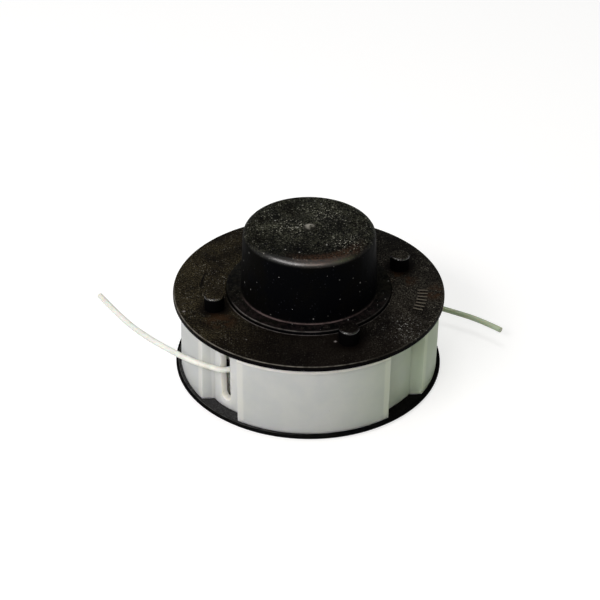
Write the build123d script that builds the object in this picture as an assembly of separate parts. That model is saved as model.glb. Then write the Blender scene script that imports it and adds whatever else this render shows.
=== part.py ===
"""Twin-line spool of a grass trimmer: hub with tap knob, pressed-on flange, line band and two lines.

Millimetres. The origin is the centre of the lower flange's underside and +Z runs up along the spool's axis.
The band's pads lie on the X and Y axes, so its recesses lie on the diagonals.
"""
import math
import os

from build123d import *

# Flanges
flange_diameter = 66.0
lower_flange_thickness = 1.2
lower_flange_chamfer = 0.7
upper_flange_thickness = 1.2
flange_gap = 18.8
flange_edge_round = 0.35

# Hub
hub_wall = 1.8
divider_thickness = 1.0
shoulder_width = 0.9
collar_width = 3.5
collar_rise = 0.6
collar_edge_round = 0.25
flange_bore_clearance = 0.05
flange_bore_chamfer = 0.2

# Tap knob
knob_height = 16.5
knob_taper = 0.85
knob_edge_round = 2.2
knob_cavity_round = 1.0
knob_root_round = 0.5
gate_nub_diameter = 2.4
gate_nub_height = 0.35
gate_nub_round = 0.15

# Spindle boss inside the hub
spindle_bore_diameter = 8.0
spindle_bore_chamfer = 0.5
boss_wall = 2.5
boss_recess = 4.0
boss_root_round = 1.0

# Index pegs on the upper flange
peg_count = 4
peg_diameter = 4.8
peg_height = 3.7
peg_edge_round = 0.35
peg_circle_inset = 8.7
peg_start_angle = 19.7

# Raised ticks on the upper flange
tick_count = 7
tick_edge_inset = 4.1
tick_length = 2.5
tick_width = 0.45
tick_height = 0.25
tick_start_angle = -5.5
tick_step_angle = -2.85

# Line band
pad_inset = 1.0
pad_width = 35.5
pad_wall = 1.3
recess_depth = 2.5
recess_wall = 2.0
band_axial_clearance = 0.15
band_running_clearance = 0.3
band_edge_round = 0.35
slot_width = 3.1
slot_floor_height = 2.0
slot_angles = (46, 226)

# Nylon line
line_diameter = 1.4
winding_core_clearance = 0.05
winding_side_clearance = 0.1
winding_rim_margin = 1.1
winding_depth = 5.1
winding_groove_fill = 0.1
layer_pitch_ratio = math.sqrt(3) / 2

# Routes of the free line ends, from the winding outwards
upper_tail_route = [
    (-18.4, -20.0, 12.0),
    (-20.7, -21.4, 12.1),
    (-23.4, -20.5, 12.6),
    (-26.9, -18.9, 12.7),
    (-31.9, -15.4, 13.0),
    (-38.5, -9.3, 13.1),
    (-45.2, -1.6, 13.3),
    (-51.8, 9.5, 13.4),
]
lower_tail_route = [
    (18.4, 19.8, 5.2),
    (20.7, 21.0, 5.1),
    (23.4, 21.0, 4.9),
    (27.2, 19.4, 4.6),
    (32.0, 16.4, 4.2),
    (38.2, 13.0, 4.1),
    (44.4, 9.3, 4.0),
    (49.1, 4.5, 4.1),
]
tail_arc_share = 0.45

# Heights and radii that follow from the driving dimensions
flange_radius = flange_diameter / 2
pad_radius = flange_radius - pad_inset
recess_radius = pad_radius - recess_depth
band_inner_radius = recess_radius - recess_wall
divider_radius = band_inner_radius - band_running_clearance
core_radius = divider_radius - winding_rim_margin - winding_depth
collar_radius = core_radius - shoulder_width
knob_base_radius = collar_radius - collar_width
knob_top_radius = knob_base_radius - knob_taper
line_radius = line_diameter / 2
bore_radius = spindle_bore_diameter / 2
boss_radius = bore_radius + boss_wall
lower_flange_top = lower_flange_thickness
upper_flange_seat = lower_flange_top + flange_gap
upper_flange_top = upper_flange_seat + upper_flange_thickness
collar_top = upper_flange_top + collar_rise
knob_top = collar_top + knob_height
roof_underside = knob_top - hub_wall
divider_bottom = lower_flange_top + (flange_gap - divider_thickness) / 2
divider_top = divider_bottom + divider_thickness
band_bottom = lower_flange_top + band_axial_clearance
band_height = flange_gap - 2 * band_axial_clearance


def rounded(profile, radius, height, round_radius):
    """Rounds the corner of a flat profile that lies at a given radius and height."""
    corner = profile.vertices().sort_by_distance((radius, height, 0))[0]
    return fillet(corner, round_radius)


def turned(profile):
    """Turns a profile of radius and height about the spool's axis."""
    return revolve(Plane.XZ * profile, Axis.Z)


def around(solid, radius, angle):
    """Places a solid at a radius and an angle about the spool's axis, facing outwards."""
    return Rot(0, 0, angle) * Pos(radius, 0, 0) * solid


def spool_hub():
    """Lower flange, core, divider, spigot and hollow knob with its spindle boss, in one moulding."""
    cavity_radius = collar_radius - hub_wall
    knob_cavity_base = knob_base_radius - hub_wall
    knob_cavity_top = knob_top_radius - hub_wall
    outline = [
        (cavity_radius, 0),
        (flange_radius - lower_flange_chamfer, 0),
        (flange_radius, lower_flange_chamfer),
        (flange_radius, lower_flange_top),
        (core_radius, lower_flange_top),
        (core_radius, divider_bottom),
        (divider_radius, divider_bottom),
        (divider_radius, divider_top),
        (core_radius, divider_top),
        (core_radius, upper_flange_seat),
        (collar_radius, upper_flange_seat),
        (collar_radius, collar_top),
        (knob_base_radius, collar_top),
        (knob_top_radius, knob_top),
        (0, knob_top),
        (0, roof_underside),
        (bore_radius, roof_underside),
        (bore_radius, boss_recess + spindle_bore_chamfer),
        (bore_radius + spindle_bore_chamfer, boss_recess),
        (boss_radius, boss_recess),
        (boss_radius, roof_underside),
        (knob_cavity_top, roof_underside),
        (knob_cavity_base, collar_top - hub_wall),
        (cavity_radius, collar_top - hub_wall),
    ]
    profile = make_face(Polyline(*outline, close=True))
    profile = rounded(profile, knob_top_radius, knob_top, knob_edge_round)
    profile = rounded(profile, knob_base_radius, collar_top, knob_root_round)
    profile = rounded(profile, collar_radius, collar_top, collar_edge_round)
    profile = rounded(profile, knob_cavity_top, roof_underside, knob_cavity_round)
    profile = rounded(profile, boss_radius, roof_underside, boss_root_round)
    profile = rounded(profile, flange_radius, lower_flange_top, flange_edge_round)
    return turned(profile) + gate_nub()


def gate_nub():
    """Moulding gate left standing on the middle of the knob, rooted in its roof."""
    nub = extrude(Circle(gate_nub_diameter / 2), hub_wall + gate_nub_height)
    nub = fillet(nub.faces().sort_by(Axis.Z)[-1].edges(), gate_nub_round)
    return Pos(0, 0, roof_underside) * nub


def upper_flange():
    """Plate that sits on the core's shoulder round the spigot, with index pegs and ticks on top."""
    bore = collar_radius + flange_bore_clearance
    outline = [
        (bore, upper_flange_seat),
        (flange_radius, upper_flange_seat),
        (flange_radius, upper_flange_top),
        (bore + flange_bore_chamfer, upper_flange_top),
        (bore, upper_flange_top - flange_bore_chamfer),
    ]
    profile = make_face(Polyline(*outline, close=True))
    profile = rounded(profile, flange_radius, upper_flange_top, flange_edge_round)
    plate = turned(profile)
    peg_circle_radius = flange_radius - peg_circle_inset
    for index in range(peg_count):
        plate += around(index_peg(), peg_circle_radius, peg_start_angle + index * 360 / peg_count)
    tick_inner_radius = flange_radius - tick_edge_inset - tick_length
    for index in range(tick_count):
        plate += around(tick(), tick_inner_radius, tick_start_angle + index * tick_step_angle)
    return plate


def index_peg():
    """Round peg with a rounded top, rooted through the flange."""
    peg = extrude(Circle(peg_diameter / 2), upper_flange_thickness + peg_height)
    peg = fillet(peg.faces().sort_by(Axis.Z)[-1].edges(), peg_edge_round)
    return Pos(0, 0, upper_flange_seat) * peg


def tick():
    """Short raised bar that runs outwards, rooted through the flange."""
    bar_height = upper_flange_thickness + tick_height
    bar = Box(tick_length, tick_width, bar_height, align=(Align.MIN, Align.CENTER, Align.MIN))
    return Pos(0, 0, upper_flange_seat) * bar


def castellation(low_radius, high_radius, width):
    """Flat outline of a circle with four wider pads of parallel sides."""
    reach = 2 * high_radius
    cross = Rectangle(reach, width) + Rectangle(width, reach)
    return Circle(low_radius) + (Circle(high_radius) & cross)


def line_band():
    """Thin castellated wall between the flanges, with a slot for each line, open at the top."""
    outer = castellation(recess_radius, pad_radius, pad_width)
    inner = castellation(band_inner_radius, pad_radius - pad_wall, pad_width - 2 * pad_wall)
    wall = extrude(outer - inner, band_height)
    pad_corners = []
    for edge in wall.edges().filter_by(Axis.Z):
        middle = edge.center()
        if math.hypot(middle.X, middle.Y) > pad_radius - pad_wall / 2:
            pad_corners.append(edge)
    wall = fillet(pad_corners, band_edge_round)
    for angle in slot_angles:
        wall -= around(line_slot(), band_inner_radius + recess_wall / 2, angle)
    return Pos(0, 0, band_bottom) * wall


def line_slot():
    """Cutter for one slot: a straight cut down from the top with a round floor."""
    depth = 2 * recess_wall
    half_width = slot_width / 2
    floor_centre = slot_floor_height + half_width
    straight = Box(depth, slot_width, band_height, align=(Align.CENTER, Align.CENTER, Align.MIN))
    floor = Rot(0, 90, 0) * Cylinder(half_width, depth)
    return Pos(0, 0, floor_centre) * (straight + floor)


def winding(chamber_floor, chamber_top):
    """All turns of one line on the core, with the outer layer's turns showing as ridges."""
    room = chamber_top - chamber_floor - 2 * winding_side_clearance
    turns = int(room / line_diameter)
    inner_radius = core_radius + winding_core_clearance
    layer_room = winding_depth - winding_core_clearance - line_diameter
    extra_layers = int(layer_room / (line_diameter * layer_pitch_ratio))
    ridge_radius = inner_radius + line_radius + extra_layers * line_diameter * layer_pitch_ratio
    height = turns * line_diameter
    bottom = (chamber_floor + chamber_top - height) / 2
    body_width = ridge_radius + winding_groove_fill - inner_radius
    body = Pos(inner_radius, bottom) * Rectangle(body_width, height, align=(Align.MIN, Align.MIN))
    for turn in range(turns):
        body += Pos(ridge_radius, bottom + (turn + 0.5) * line_diameter) * Circle(line_radius)
    mean_radius = (inner_radius + ridge_radius + line_radius) / 2
    length = turns * (extra_layers + 1) * 2 * math.pi * mean_radius
    print(f"winding: {turns} turns, {extra_layers + 1} layers, about {length:.0f} mm of line")
    return turned(body)


def line_tail(name, route):
    """Free end of a line: straight runs joined by arcs as large as the runs allow."""
    points = [Vector(*point) for point in route]
    radii = []
    for before, here, after in zip(points, points[1:], points[2:]):
        turn = math.radians((here - before).get_angle(after - here))
        shorter_run = min((here - before).length, (after - here).length)
        radii.append(tail_arc_share * shorter_run / math.tan(turn / 2))
    path = FilletPolyline(*points, radius=radii)
    section = Plane(origin=path @ 0, z_dir=path % 0) * Circle(line_radius)
    tail = sweep(section, path)
    expected = math.pi * line_radius**2 * path.length
    print(f"{name}: length {path.length:.1f}, volume {tail.volume:.2f} of {expected:.2f}")
    print(f"{name}: radii {[round(radius, 1) for radius in radii]}")
    return tail


pieces = {
    "spool_hub": spool_hub(),
    "upper_flange": upper_flange(),
    "line_band": line_band(),
    "upper_winding": winding(divider_top, upper_flange_seat),
    "lower_winding": winding(lower_flange_top, divider_bottom),
    "upper_line_tail": line_tail("upper_line_tail", upper_tail_route),
    "lower_line_tail": line_tail("lower_line_tail", lower_tail_route),
}

os.makedirs("parts", exist_ok=True)
for name, piece in pieces.items():
    export_step(piece, f"parts/{name}.step")
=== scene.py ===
"""Looks of the twin-line trimmer spool: black mouldings, milky line band and nylon line."""
import math

import bpy
from mathutils import Matrix, Vector


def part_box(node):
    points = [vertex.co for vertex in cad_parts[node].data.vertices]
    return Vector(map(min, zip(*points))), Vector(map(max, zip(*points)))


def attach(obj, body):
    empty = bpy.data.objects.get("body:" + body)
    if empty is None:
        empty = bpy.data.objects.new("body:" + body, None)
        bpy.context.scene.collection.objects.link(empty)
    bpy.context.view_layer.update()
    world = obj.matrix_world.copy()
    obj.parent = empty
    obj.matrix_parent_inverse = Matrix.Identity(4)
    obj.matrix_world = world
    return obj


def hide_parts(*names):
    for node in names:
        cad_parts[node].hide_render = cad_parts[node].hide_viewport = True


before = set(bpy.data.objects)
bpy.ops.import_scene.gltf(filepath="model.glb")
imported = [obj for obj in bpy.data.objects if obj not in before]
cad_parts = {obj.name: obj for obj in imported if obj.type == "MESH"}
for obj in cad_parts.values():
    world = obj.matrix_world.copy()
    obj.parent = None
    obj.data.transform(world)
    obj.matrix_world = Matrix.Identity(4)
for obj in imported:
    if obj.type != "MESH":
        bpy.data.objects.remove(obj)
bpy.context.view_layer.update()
bpy.ops.object.select_all(action="DESELECT")

# Sizes read from the frame, in metres
MM = 0.001
hub_low, hub_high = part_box("spool_hub")
flange_low, flange_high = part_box("upper_flange")
band_low, band_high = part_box("line_band")
flange_radius = flange_high.x
pad_radius = band_high.x
upper_seat = flange_low.z
nub_top = hub_high.z

# Hub and its tap knob
LOWER_FLANGE_TOP = 1.2 * MM
LOWER_FLANGE_CHAMFER = 0.7 * MM
FLANGE_EDGE_ROUND = 0.35 * MM
CORE_RADIUS = 21.0 * MM
DIVIDER_RADIUS = 27.2 * MM
DIVIDER_HALF = 0.5 * MM
COLLAR_RADIUS = 20.1 * MM
COLLAR_RISE = 0.6 * MM
COLLAR_EDGE_ROUND = 0.25 * MM
HUB_WALL = 1.8 * MM
KNOB_BASE = 16.6 * MM
KNOB_CROWN = 15.75 * MM
KNOB_EDGE_ROUND = 2.2 * MM
KNOB_ROOT_ROUND = 0.5 * MM
KNOB_CAVITY_ROUND = 1.0 * MM
BOSS_RADIUS = 6.5 * MM
BOSS_RECESS = 4.0 * MM
SPINDLE_BORE = 4.0 * MM
SPINDLE_CHAMFER = 0.5 * MM

# Broken gate on the knob, with its profile in shares of its radius and height
NUB_RADIUS = 1.2 * MM
NUB_HEIGHT = 0.35 * MM
NUB_PROFILE = ((0.4, 1.0), (0.75, 0.9), (0.95, 0.6))
NUB_TILT = math.radians(4)
NUB_STRETCH = (1.25, 0.9, 1.0)

# Upper flange with its index pegs and ticks
UPPER_FLANGE_THICKNESS = 1.2 * MM
UNDER_EDGE_ROUND = 0.15 * MM
FLANGE_BORE_CLEARANCE = 0.05 * MM
BORE_CHAMFER = 0.2 * MM
PEG_RADIUS = 2.4 * MM
PEG_EDGE_ROUND = 0.35 * MM
PEG_CIRCLE = 24.3 * MM
PEG_COUNT = 4
PEG_START = math.radians(19.7)
TICK_COUNT = 7
TICK_START = math.radians(-5.5)
TICK_STEP = math.radians(-2.85)
TICK_INNER = 26.4 * MM
TICK_SIZE = Vector((2.5, 0.45, 0.25)) * MM
TICK_EDGE_ROUND = 0.1 * MM

# Line band
PAD_COUNT = 4
RECESS_RADIUS = 29.5 * MM
BAND_INNER = 27.5 * MM
PAD_HALF_WIDTH = 17.75 * MM
PAD_WALL = 1.3 * MM
SLOT_WIDTH = 3.1 * MM
SLOT_FLOOR = 2.0 * MM
SLOT_ANGLES = (math.radians(46), math.radians(226))
LEAN_AT_FOOT = 0.35 * MM
LEAN_AT_TOP = 0.85 * MM
LEAN_FADE = 3.0 * MM
BAND_EDGE_ROUND = 0.3 * MM
BAND_EDGE_ANGLE = math.radians(40)

# Nylon line
LINE_DIAMETER = 1.4 * MM
WINDING_TURNS = 6
WINDING_CORE_CLEARANCE = 0.05 * MM

# Fineness of the meshes
RING_STEPS = 160
CROWN_ROUND_STEPS = 8
ROUND_STEPS = 4
COLLAR_ROUND_STEPS = 3
UNDER_ROUND_STEPS = 2
PEG_SIDES = 48
PEG_ROUND_STEPS = 5
TICK_ROUND_STEPS = 2
PAD_STEPS = 40
RECESS_STEPS = 14
SLOT_SIDES = 48
BAND_ROUND_STEPS = 3
TURN_SIDES = 14
STEPS_PER_TURN = 96
TAIL_QUARTER_SIDES = 5
TAIL_STEPS = 16
MERGE_DISTANCE = 0.002 * MM
BISECT_DISTANCE = 0.1 * MERGE_DISTANCE
SMOOTH_ANGLE = math.radians(32)
WINDING_SMOOTH_ANGLE = math.radians(50)

# Heights that follow from the sizes above
upper_top = upper_seat + UPPER_FLANGE_THICKNESS
collar_top = upper_top + COLLAR_RISE
knob_top = nub_top - NUB_HEIGHT
roof_underside = knob_top - HUB_WALL
divider_middle = (LOWER_FLANGE_TOP + upper_seat) / 2

# Routes of the free line ends, from the winding outwards
UPPER_TAIL_ROUTE = [
    (-0.0184, -0.02, 0.012),
    (-0.0207, -0.0214, 0.0121),
    (-0.0234, -0.0205, 0.0126),
    (-0.0269, -0.0189, 0.0127),
    (-0.0319, -0.0154, 0.013),
    (-0.0385, -0.0093, 0.0131),
    (-0.0452, -0.0016, 0.0133),
    (-0.0518, 0.0095, 0.0134),
]
LOWER_TAIL_ROUTE = [
    (0.0184, 0.0198, 0.0052),
    (0.0207, 0.021, 0.0051),
    (0.0234, 0.021, 0.0049),
    (0.0272, 0.0194, 0.0046),
    (0.032, 0.0164, 0.0042),
    (0.0382, 0.013, 0.0041),
    (0.0444, 0.0093, 0.004),
    (0.0491, 0.0045, 0.0041),
]

# Camera of the photograph, aimed at the middle of the upper flange's top
PICTURE_PIXELS = 600
FOCAL_PIXELS = 1472.5
AIM_PIXEL = (308.85, 286.9)
CAMERA_DISTANCE = 0.3584
CAMERA_ELEVATION = math.radians(33.42)
CAMERA_TURN = math.radians(2.9)
CAMERA_ROLL = math.radians(0.6)
CAMERA_NEAREST = 0.01
SENSOR_WIDTH = 36.0

# Lamps: name, azimuth and elevation in degrees, width and height, watts and colour
LAMP_DISTANCE = 0.7
LAMPS = (
    ("key", 226, 40, (0.5, 0.17), 3.65, (1.0, 0.97, 0.96)),
    ("gleam", 277, 41, (0.35, 0.08), 0.5, (1.0, 0.8, 0.7)),
    ("overhead", 110, 70, (0.3, 0.3), 1.0, (1.0, 1.0, 1.0)),
    ("fill", 335, 28, (0.4, 0.4), 0.2, (0.62, 1.0, 0.3)),
)

# Floor and sky
WHITE = (1, 1, 1, 1)
FLOOR_SIZE = 12
FLOOR_DROP = 0.05 * MM
FLOOR_GREY = (0.45, 0.45, 0.45, 1)
FLOOR_ROUGHNESS = 0.9
FLOOR_GLOW = 0.68
SKY_RAMP = (0.05, 0.25, 0.92, 0.17)

# Sockets of the Mix node where it mixes colours, and the axes as parts of a vector
MIX_FACTOR = 0
MIX_FIRST = 6
MIX_SECOND = 7
MIX_RESULT = 2
X_AXIS = 0
Y_AXIS = 1
Z_AXIS = 2


def only_selected(piece):
    """Makes a piece the active one and the only one selected."""
    bpy.ops.object.select_all(action="DESELECT")
    piece.select_set(True)
    bpy.context.view_layer.objects.active = piece


def enter_edit(piece):
    """Opens a piece in edit mode, alone."""
    only_selected(piece)
    bpy.ops.object.mode_set(mode="EDIT")


def leave_edit():
    """Goes back to object mode."""
    bpy.ops.object.mode_set(mode="OBJECT")


def named(piece, name):
    """Names a new object and its mesh."""
    piece.name = name
    piece.data.name = name
    return piece


def settle(piece):
    """Applies an object's place, turn and scale to its mesh."""
    only_selected(piece)
    bpy.ops.object.transform_apply(location=True, rotation=True, scale=True)


def joined(pieces):
    """Joins several pieces into the first of them."""
    bpy.ops.object.select_all(action="DESELECT")
    for piece in pieces:
        piece.select_set(True)
    bpy.context.view_layer.objects.active = pieces[0]
    bpy.ops.object.join()
    return bpy.context.object


def point_outwards(merge=True):
    """Turns all faces of the piece in edit mode outwards, once its doubles are merged."""
    bpy.ops.mesh.select_all(action="SELECT")
    if merge:
        bpy.ops.mesh.remove_doubles(threshold=MERGE_DISTANCE)
    bpy.ops.mesh.normals_make_consistent(inside=False)


def select_points(piece, wanted):
    """Selects the points whose places pass a test, with the edges between them, in object mode."""
    mesh = piece.data
    chosen = [wanted(vertex.co) for vertex in mesh.vertices]
    for face in mesh.polygons:
        face.select = all(chosen[index] for index in face.vertices)
    for edge in mesh.edges:
        edge.select = all(chosen[index] for index in edge.vertices)
    for vertex in mesh.vertices:
        vertex.select = chosen[vertex.index]


def select_mode(points=False, edges=False, faces=False):
    """Sets what a selection in edit mode is made of."""
    bpy.context.tool_settings.mesh_select_mode = (points, edges, faces)


def select_ring(piece, radius, height):
    """Selects the edges of one ring of a turned piece, in object mode."""
    def on_ring(place):
        off_radius = abs(math.hypot(place.x, place.y) - radius)
        off_height = abs(place.z - height)
        return max(off_radius, off_height) < MERGE_DISTANCE
    select_points(piece, on_ring)
    for face in piece.data.polygons:
        face.select = False
    select_mode(edges=True)


def round_ring(piece, radius, height, size, steps):
    """Bevels one ring of a turned piece into a round edge."""
    select_ring(piece, radius, height)
    enter_edit(piece)
    bpy.ops.mesh.bevel(offset=size, offset_type="OFFSET", segments=steps, profile=0.5)
    leave_edit()


def close_at_axis():
    """Draws a copy of the selected ring together at the axis."""
    bpy.ops.mesh.extrude_edges_move()
    bpy.ops.mesh.merge(type="CENTER")


def turned_piece(name, outline, closed_loop=False):
    """Extrudes a ring of edges through (radius, height) points; open ends are closed at the axis."""
    radius, height = outline[0]
    bpy.ops.object.select_all(action="DESELECT")
    bpy.ops.mesh.primitive_circle_add(vertices=RING_STEPS, radius=radius)
    piece = named(bpy.context.object, name)
    enter_edit(piece)
    bpy.ops.mesh.select_all(action="SELECT")
    bpy.ops.transform.translate(value=(0, 0, height))
    if not closed_loop:
        close_at_axis()
        leave_edit()
        select_ring(piece, radius, height)
        bpy.ops.object.mode_set(mode="EDIT")
    stops = outline[1:]
    if closed_loop:
        stops = stops + outline[:1]
    for next_radius, next_height in stops:
        bpy.ops.mesh.extrude_edges_move(TRANSFORM_OT_translate={"value": (0, 0, next_height - height)})
        growth = next_radius / radius
        bpy.ops.transform.resize(value=(growth, growth, 1), center_override=(0, 0, next_height))
        radius, height = next_radius, next_height
    if not closed_loop:
        close_at_axis()
    point_outwards()
    leave_edit()
    return piece


def smooth(piece, angle=SMOOTH_ANGLE):
    """Shades the round faces smooth and keeps the sharp edges."""
    only_selected(piece)
    bpy.ops.object.shade_smooth_by_angle(angle=angle)


def apply_modifier(piece, kind, **settings):
    """Adds a modifier with its settings and applies it."""
    modifier = piece.modifiers.new(kind.lower(), kind)
    for key, value in settings.items():
        setattr(modifier, key, value)
    only_selected(piece)
    bpy.ops.object.modifier_apply(modifier=modifier.name)


def discard(piece):
    """Removes an object and its mesh."""
    mesh = piece.data
    bpy.data.objects.remove(piece)
    bpy.data.meshes.remove(mesh)


def combine(piece, tool, operation):
    """Unites a piece with a tool, or cuts it by the tool, and removes the tool."""
    apply_modifier(piece, "BOOLEAN", operation=operation, solver="EXACT", object=tool)
    discard(tool)


def copies_around(piece, radius, angles):
    """Copies a piece to each angle about the axis and joins the copies in its place."""
    copies = []
    for angle in angles:
        copy = piece.copy()
        copy.data = piece.data.copy()
        bpy.context.scene.collection.objects.link(copy)
        copy.data.transform(Matrix.Rotation(angle, 4, "Z") @ Matrix.Translation((radius, 0, 0)))
        copies.append(copy)
    discard(piece)
    return joined(copies)


def make_hub():
    """Lower flange, core, divider, collar and hollow tap knob, with the broken gate on its crown."""
    cavity = COLLAR_RADIUS - HUB_WALL
    divider_top = divider_middle + DIVIDER_HALF
    divider_bottom = divider_middle - DIVIDER_HALF
    collar_underside = collar_top - HUB_WALL
    knob_cavity_base = KNOB_BASE - HUB_WALL
    knob_cavity_top = KNOB_CROWN - HUB_WALL
    outline = [(across * NUB_RADIUS, knob_top + along * NUB_HEIGHT) for across, along in NUB_PROFILE]
    outline += [
        (NUB_RADIUS, knob_top),
        (KNOB_CROWN, knob_top),
        (KNOB_BASE, collar_top),
        (COLLAR_RADIUS, collar_top),
        (COLLAR_RADIUS, upper_seat),
        (CORE_RADIUS, upper_seat),
        (CORE_RADIUS, divider_top),
        (DIVIDER_RADIUS, divider_top),
        (DIVIDER_RADIUS, divider_bottom),
        (CORE_RADIUS, divider_bottom),
        (CORE_RADIUS, LOWER_FLANGE_TOP),
        (flange_radius, LOWER_FLANGE_TOP),
        (flange_radius, LOWER_FLANGE_CHAMFER),
        (flange_radius - LOWER_FLANGE_CHAMFER, hub_low.z),
        (cavity, hub_low.z),
        (cavity, collar_underside),
        (knob_cavity_base, collar_underside),
        (knob_cavity_top, roof_underside),
        (BOSS_RADIUS, roof_underside),
        (BOSS_RADIUS, BOSS_RECESS),
        (SPINDLE_BORE + SPINDLE_CHAMFER, BOSS_RECESS),
        (SPINDLE_BORE, BOSS_RECESS + SPINDLE_CHAMFER),
        (SPINDLE_BORE, roof_underside),
    ]
    hub = turned_piece("hub_moulding", outline)
    round_ring(hub, KNOB_CROWN, knob_top, KNOB_EDGE_ROUND, CROWN_ROUND_STEPS)
    round_ring(hub, KNOB_BASE, collar_top, KNOB_ROOT_ROUND, ROUND_STEPS)
    round_ring(hub, COLLAR_RADIUS, collar_top, COLLAR_EDGE_ROUND, COLLAR_ROUND_STEPS)
    round_ring(hub, flange_radius, LOWER_FLANGE_TOP, FLANGE_EDGE_ROUND, ROUND_STEPS)
    round_ring(hub, knob_cavity_top, roof_underside, KNOB_CAVITY_ROUND, ROUND_STEPS)
    round_ring(hub, BOSS_RADIUS, roof_underside, KNOB_CAVITY_ROUND, ROUND_STEPS)
    tilt_nub(hub)
    smooth(hub)
    return hub


def tilt_nub(hub):
    """Stretches and tilts the broken gate that stands on the knob's crown."""
    select_points(hub, lambda place: place.z > knob_top + MERGE_DISTANCE)
    select_mode(points=True)
    enter_edit(hub)
    bpy.ops.transform.resize(value=NUB_STRETCH, center_override=(0, 0, knob_top))
    bpy.ops.transform.rotate(value=NUB_TILT, orient_axis="Y", center_override=(0, 0, knob_top))
    leave_edit()


def make_peg():
    """One index peg with a rounded top, rooted in the flange."""
    peg_height = flange_high.z - upper_top
    root = UPPER_FLANGE_THICKNESS / 2
    middle = upper_top + (peg_height - root) / 2
    bpy.ops.object.select_all(action="DESELECT")
    bpy.ops.mesh.primitive_cylinder_add(
        vertices=PEG_SIDES, radius=PEG_RADIUS, depth=peg_height + root, location=(0, 0, middle))
    peg = named(bpy.context.object, "index_peg")
    settle(peg)
    round_ring(peg, PEG_RADIUS, flange_high.z, PEG_EDGE_ROUND, PEG_ROUND_STEPS)
    return peg


def make_tick():
    """One plain raised bar, rooted in the flange."""
    height = TICK_SIZE.z + UPPER_FLANGE_THICKNESS / 2
    middle = (TICK_SIZE.x / 2, 0, upper_top + TICK_SIZE.z - height / 2)
    bpy.ops.object.select_all(action="DESELECT")
    bpy.ops.mesh.primitive_cube_add(size=1, location=middle, scale=(TICK_SIZE.x, TICK_SIZE.y, height))
    tick = named(bpy.context.object, "flange_tick")
    settle(tick)
    apply_modifier(tick, "BEVEL", width=TICK_EDGE_ROUND, segments=TICK_ROUND_STEPS)
    return tick


def make_upper_flange():
    """Pressed-on plate with its index pegs and ticks."""
    bore = COLLAR_RADIUS + FLANGE_BORE_CLEARANCE
    outline = [
        (bore, upper_seat),
        (flange_radius, upper_seat),
        (flange_radius, upper_top),
        (bore + BORE_CHAMFER, upper_top),
        (bore, upper_top - BORE_CHAMFER),
    ]
    plate = turned_piece("flange_plate", outline, closed_loop=True)
    round_ring(plate, flange_radius, upper_top, FLANGE_EDGE_ROUND, ROUND_STEPS)
    round_ring(plate, flange_radius, upper_seat, UNDER_EDGE_ROUND, UNDER_ROUND_STEPS)
    peg_angles = [PEG_START + index * math.tau / PEG_COUNT for index in range(PEG_COUNT)]
    combine(plate, copies_around(make_peg(), PEG_CIRCLE, peg_angles), "UNION")
    tick_angles = [TICK_START + index * TICK_STEP for index in range(TICK_COUNT)]
    combine(plate, copies_around(make_tick(), TICK_INNER, tick_angles), "UNION")
    smooth(plate)
    return plate


def spin_on(angle, steps):
    """Spins the selected edge about the axis, which leaves its far end selected."""
    bpy.ops.mesh.spin(steps=steps, angle=-angle, center=(0, 0, 0), axis=(0, 0, 1))


def castellated_sheet(name, low_radius, high_radius, half_width):
    """Upright sheet round the band's outline, spun and extruded one pad at a time."""
    low_edge = math.asin(half_width / low_radius)
    high_edge = math.asin(half_width / high_radius)
    pad_step = math.sqrt(high_radius**2 - half_width**2) - math.sqrt(low_radius**2 - half_width**2)
    pad_pitch = math.tau / PAD_COUNT
    recess_arc = pad_pitch - 2 * low_edge
    height = band_high.z - band_low.z
    middle = (low_radius + height / 2, 0, (band_low.z + band_high.z) / 2)
    bpy.ops.object.select_all(action="DESELECT")
    bpy.ops.mesh.primitive_plane_add(size=height, location=middle, rotation=(math.pi / 2, 0, 0))
    sheet = named(bpy.context.object, name)
    settle(sheet)
    select_points(sheet, lambda place: place.x > low_radius + MERGE_DISTANCE)
    select_mode(points=True)
    enter_edit(sheet)
    bpy.ops.mesh.delete(type="VERT")
    bpy.ops.mesh.select_all(action="SELECT")
    bpy.ops.transform.rotate(value=low_edge, orient_axis="Z", center_override=(0, 0, 0))
    for pad in range(PAD_COUNT):
        heading = pad * pad_pitch
        outward = Vector((math.cos(heading), math.sin(heading), 0)) * pad_step
        bpy.ops.mesh.extrude_edges_move(TRANSFORM_OT_translate={"value": outward})
        spin_on(2 * high_edge, PAD_STEPS)
        bpy.ops.mesh.extrude_edges_move(TRANSFORM_OT_translate={"value": -outward})
        spin_on(recess_arc, RECESS_STEPS)
    point_outwards()
    leave_edit()
    return sheet


def make_slot_cutter():
    """Cutter of one line slot: straight down from the top, with a round floor."""
    depth = 2 * (RECESS_RADIUS - BAND_INNER)
    floor_middle = (0, 0, band_low.z + SLOT_FLOOR + SLOT_WIDTH / 2)
    height = band_high.z + SLOT_WIDTH - floor_middle[2]
    bpy.ops.object.select_all(action="DESELECT")
    bpy.ops.mesh.primitive_cylinder_add(vertices=SLOT_SIDES, radius=SLOT_WIDTH / 2, depth=depth,
                                        location=floor_middle, rotation=(0, math.pi / 2, 0))
    cutter = named(bpy.context.object, "slot_cutter")
    settle(cutter)
    select_mode(edges=True)
    enter_edit(cutter)
    bpy.ops.mesh.select_all(action="SELECT")
    bpy.ops.mesh.bisect(plane_co=floor_middle, plane_no=(0, 0, 1), clear_outer=True,
                        threshold=BISECT_DISTANCE)
    bpy.ops.mesh.extrude_edges_move(TRANSFORM_OT_translate={"value": (0, 0, height)})
    bpy.ops.mesh.edge_face_add()
    point_outwards(merge=False)
    leave_edit()
    return cutter


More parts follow.
